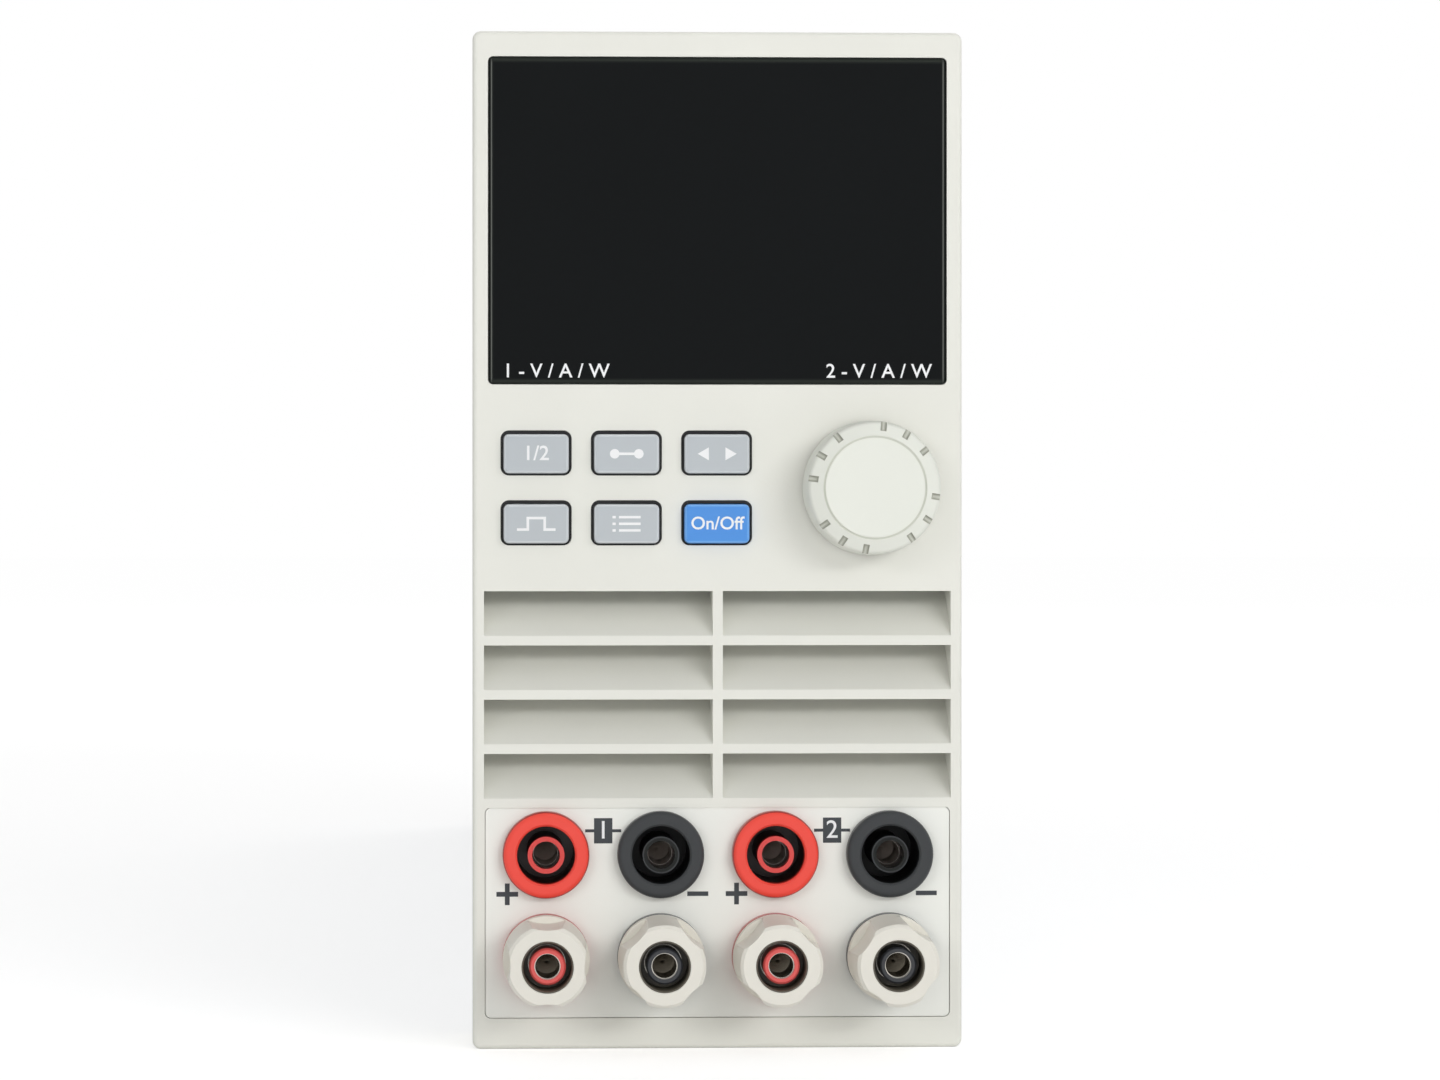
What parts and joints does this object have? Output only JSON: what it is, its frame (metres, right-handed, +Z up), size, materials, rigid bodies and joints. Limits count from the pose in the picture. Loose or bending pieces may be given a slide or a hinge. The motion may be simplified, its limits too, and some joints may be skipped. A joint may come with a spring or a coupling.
{
  "type": "dc electronic load",
  "caption": "Tall narrow plug-in electronic load with display window, keypad, rotary knob, louvred air inlet, safety jacks and binding posts on a long steel chassis.",
  "frame": {"origin": "centre of the footprint, on the base", "axes": "+Z up, front panel faces -Y, +X to the right seen from the front"},
  "size_m": [0.0816, 0.5275, 0.169],
  "materials": {
    "bezel_plastic": "fine satin grain",
    "terminal_plastic": "satin",
    "window_gloss": "polished",
    "display_frame": "satin",
    "black_rubber": "matt",
    "key_grey": "satin",
    "key_blue": "satin",
    "board_laminate": "solder mask",
    "board_laminate_plain": "bare laminate",
    "zinc_plate": "bright zinc plate",
    "nickel_plate": "nickel plate",
    "knob_plastic": "satin",
    "cap_plastic": "satin",
    "red_plastic": "half gloss",
    "black_plastic": "half gloss",
    "bare_copper": "bare copper",
    "sheet_steel": "zinc-coated sheet",
    "fan_plastic": "moulded black",
    "bare_aluminium": "extruded",
    "capacitor_sleeve": "shrink sleeve",
    "cable_grey": "satin"
  },
  "bodies": {
    "module": {"front_bezel": "bezel_plastic", "terminal_panel": "terminal_plastic", "display_window": "window_gloss", "display_module": "display_frame", "keypad_mat": "black_rubber", "control_board": "board_laminate", "encoder_body": "zinc_plate", "jack_shrouds_red": "red_plastic", "jack_shrouds_black": "black_plastic", "jack_contacts": "nickel_plate", "terminal_nuts": "zinc_plate", "post_insulators_red": "red_plastic", "post_insulators_black": "black_plastic", "post_studs": "nickel_plate", "tail_nuts": "zinc_plate", "bus_bars": "bare_copper", "front_plate": "sheet_steel", "chassis_tray": "sheet_steel", "top_cover": "sheet_steel", "chassis_screws": "zinc_plate", "inner_screws": "zinc_plate", "fan_frame_lower": "fan_plastic", "fan_frame_upper": "fan_plastic", "fan_guards": "nickel_plate", "fan_screws": "zinc_plate", "heat_sink_lower": "bare_aluminium", "heat_sink_upper": "bare_aluminium", "sink_spacers": "board_laminate_plain", "power_transistors": "fan_plastic", "transistor_screws": "zinc_plate", "power_board": "board_laminate", "board_standoffs": "zinc_plate", "capacitors": "capacitor_sleeve", "shunt_resistors": "bare_copper", "ribbon_cable": "cable_grey", "cable_headers": "fan_plastic", "backplane_plug": "fan_plastic", "plug_pins": "nickel_plate", "rear_board": "board_laminate"},
    "knob": {"control_knob": "knob_plastic", "encoder_shaft": "nickel_plate"},
    "key_channel_cap": {"key_channel": "key_grey"},
    "key_short_cap": {"key_short": "key_grey"},
    "key_cursor_cap": {"key_cursor": "key_grey"},
    "key_pulse_cap": {"key_pulse": "key_grey"},
    "key_mode_cap": {"key_mode": "key_grey"},
    "key_input_cap": {"key_input": "key_blue"},
    "post_washer_1_ring": {"post_washer_1": "nickel_plate"},
    "post_cap_1_nut": {"post_cap_1": "cap_plastic"},
    "post_washer_2_ring": {"post_washer_2": "nickel_plate"},
    "post_cap_2_nut": {"post_cap_2": "cap_plastic"},
    "post_washer_3_ring": {"post_washer_3": "nickel_plate"},
    "post_cap_3_nut": {"post_cap_3": "cap_plastic"},
    "post_washer_4_ring": {"post_washer_4": "nickel_plate"},
    "post_cap_4_nut": {"post_cap_4": "cap_plastic"},
    "fan_lower": {"fan_rotor_lower": "fan_plastic"},
    "fan_upper": {"fan_rotor_upper": "fan_plastic"}
  },
  "joints": [
    {"name": "knob_turn", "type": "hinge", "parent": "module", "child": "knob", "pos_m": [0.0252, -0.25325, 0.09315], "axis": [0, -1, 0], "continuous": true},
    {"name": "key_channel_press", "type": "slide", "parent": "module", "child": "key_channel_cap", "axis": [0, 1, 0], "range_m": [0, 0.0012], "stiffness_N_per_m": 800},
    {"name": "key_short_press", "type": "slide", "parent": "module", "child": "key_short_cap", "axis": [0, 1, 0], "range_m": [0, 0.0012], "stiffness_N_per_m": 800},
    {"name": "key_cursor_press", "type": "slide", "parent": "module", "child": "key_cursor_cap", "axis": [0, 1, 0], "range_m": [0, 0.0012], "stiffness_N_per_m": 800},
    {"name": "key_pulse_press", "type": "slide", "parent": "module", "child": "key_pulse_cap", "axis": [0, 1, 0], "range_m": [0, 0.0012], "stiffness_N_per_m": 800},
    {"name": "key_mode_press", "type": "slide", "parent": "module", "child": "key_mode_cap", "axis": [0, 1, 0], "range_m": [0, 0.0012], "stiffness_N_per_m": 800},
    {"name": "key_input_press", "type": "slide", "parent": "module", "child": "key_input_cap", "axis": [0, 1, 0], "range_m": [0, 0.0012], "stiffness_N_per_m": 800},
    {"name": "post_1_rise", "type": "slide", "parent": "module", "child": "post_washer_1_ring", "axis": [0, -1, 0], "range_m": [0, 0.0045]},
    {"name": "post_1_turn", "type": "hinge", "parent": "post_washer_1_ring", "child": "post_cap_1_nut", "pos_m": [-0.02857, -0.25625, 0.0153], "axis": [0, -1, 0], "range_deg": [0, 1620]},
    {"name": "post_2_rise", "type": "slide", "parent": "module", "child": "post_washer_2_ring", "axis": [0, -1, 0], "range_m": [0, 0.0045]},
    {"name": "post_2_turn", "type": "hinge", "parent": "post_washer_2_ring", "child": "post_cap_2_nut", "pos_m": [-0.00953, -0.25625, 0.0153], "axis": [0, -1, 0], "range_deg": [0, 1620]},
    {"name": "post_3_rise", "type": "slide", "parent": "module", "child": "post_washer_3_ring", "axis": [0, -1, 0], "range_m": [0, 0.0045]},
    {"name": "post_3_turn", "type": "hinge", "parent": "post_washer_3_ring", "child": "post_cap_3_nut", "pos_m": [0.00953, -0.25625, 0.0153], "axis": [0, -1, 0], "range_deg": [0, 1620]},
    {"name": "post_4_rise", "type": "slide", "parent": "module", "child": "post_washer_4_ring", "axis": [0, -1, 0], "range_m": [0, 0.0045]},
    {"name": "post_4_turn", "type": "hinge", "parent": "post_washer_4_ring", "child": "post_cap_4_nut", "pos_m": [0.02857, -0.25625, 0.0153], "axis": [0, -1, 0], "range_deg": [0, 1620]},
    {"name": "fan_lower_spin", "type": "hinge", "parent": "module", "child": "fan_lower", "pos_m": [0, 0.23875, 0.07325], "axis": [0, 1, 0], "continuous": true},
    {"name": "fan_upper_spin", "type": "hinge", "parent": "module", "child": "fan_upper", "pos_m": [0, 0.23875, 0.13375], "axis": [0, 1, 0], "continuous": true}
  ],
  "couplings": [
    {"joint": "post_1_turn", "follows": "post_1_rise", "rad_per_m": 6283.2},
    {"joint": "post_2_turn", "follows": "post_2_rise", "rad_per_m": 6283.2},
    {"joint": "post_3_turn", "follows": "post_3_rise", "rad_per_m": 6283.2},
    {"joint": "post_4_turn", "follows": "post_4_rise", "rad_per_m": 6283.2}
  ]
}
